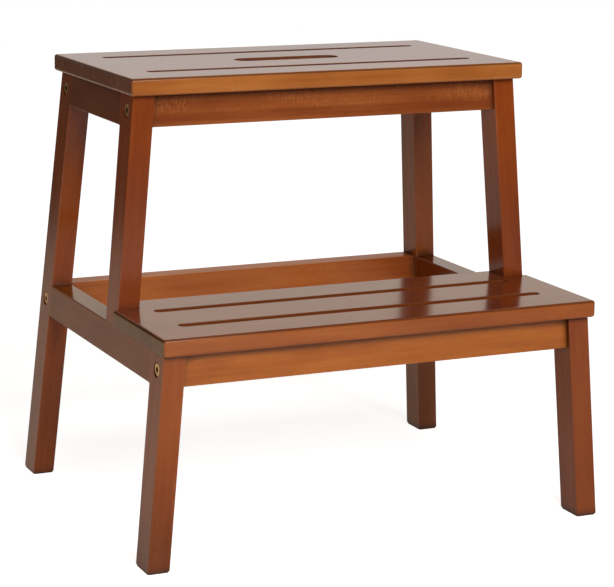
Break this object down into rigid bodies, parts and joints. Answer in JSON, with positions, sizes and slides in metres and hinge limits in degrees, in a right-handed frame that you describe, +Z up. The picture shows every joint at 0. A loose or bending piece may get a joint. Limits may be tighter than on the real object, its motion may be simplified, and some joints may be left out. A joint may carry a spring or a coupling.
{
  "type": "kitchen step stool",
  "caption": "Rigid wooden step stool with a slotted top board and hand hole above a notched lower step, on splayed side frames joined by bolted cross rails.",
  "frame": {"origin": "on the floor, at the middle of the stool's bounding box", "axes": "+Z up, +X across the stool to the right of a person facing its front, the front with the lower step towards -Y"},
  "size_m": [0.4314, 0.352, 0.4],
  "materials": {
    "board_wood": "gloss lacquer over a chestnut stain",
    "frame_wood": "gloss lacquer over a chestnut stain",
    "dowel_wood": "bare beech",
    "antique_brass": "antique brass plating",
    "zinc_steel": "zinc plating",
    "foot_rubber": "matte"
  },
  "bodies": {
    "root": {"top_board": "board_wood", "lower_step_board": "board_wood", "left_rear_leg": "frame_wood", "right_rear_leg": "frame_wood", "left_upper_front_leg": "frame_wood", "right_upper_front_leg": "frame_wood", "left_lower_front_leg": "frame_wood", "right_lower_front_leg": "frame_wood", "left_upper_side_rail": "frame_wood", "right_upper_side_rail": "frame_wood", "left_lower_side_rail": "frame_wood", "right_lower_side_rail": "frame_wood", "upper_front_rail": "frame_wood", "upper_rear_rail": "frame_wood", "lower_front_rail": "frame_wood", "lower_rear_rail": "frame_wood", "connector_bolts": "antique_brass", "barrel_nuts": "zinc_steel", "rail_dowels": "dowel_wood", "side_rail_dowels": "dowel_wood", "upper_leg_dowels": "dowel_wood", "top_board_screws": "zinc_steel", "step_board_screws": "zinc_steel", "left_front_foot_pad": "foot_rubber", "right_front_foot_pad": "foot_rubber", "left_rear_foot_pad": "foot_rubber", "right_rear_foot_pad": "foot_rubber"}
  },
  "joints": []
}
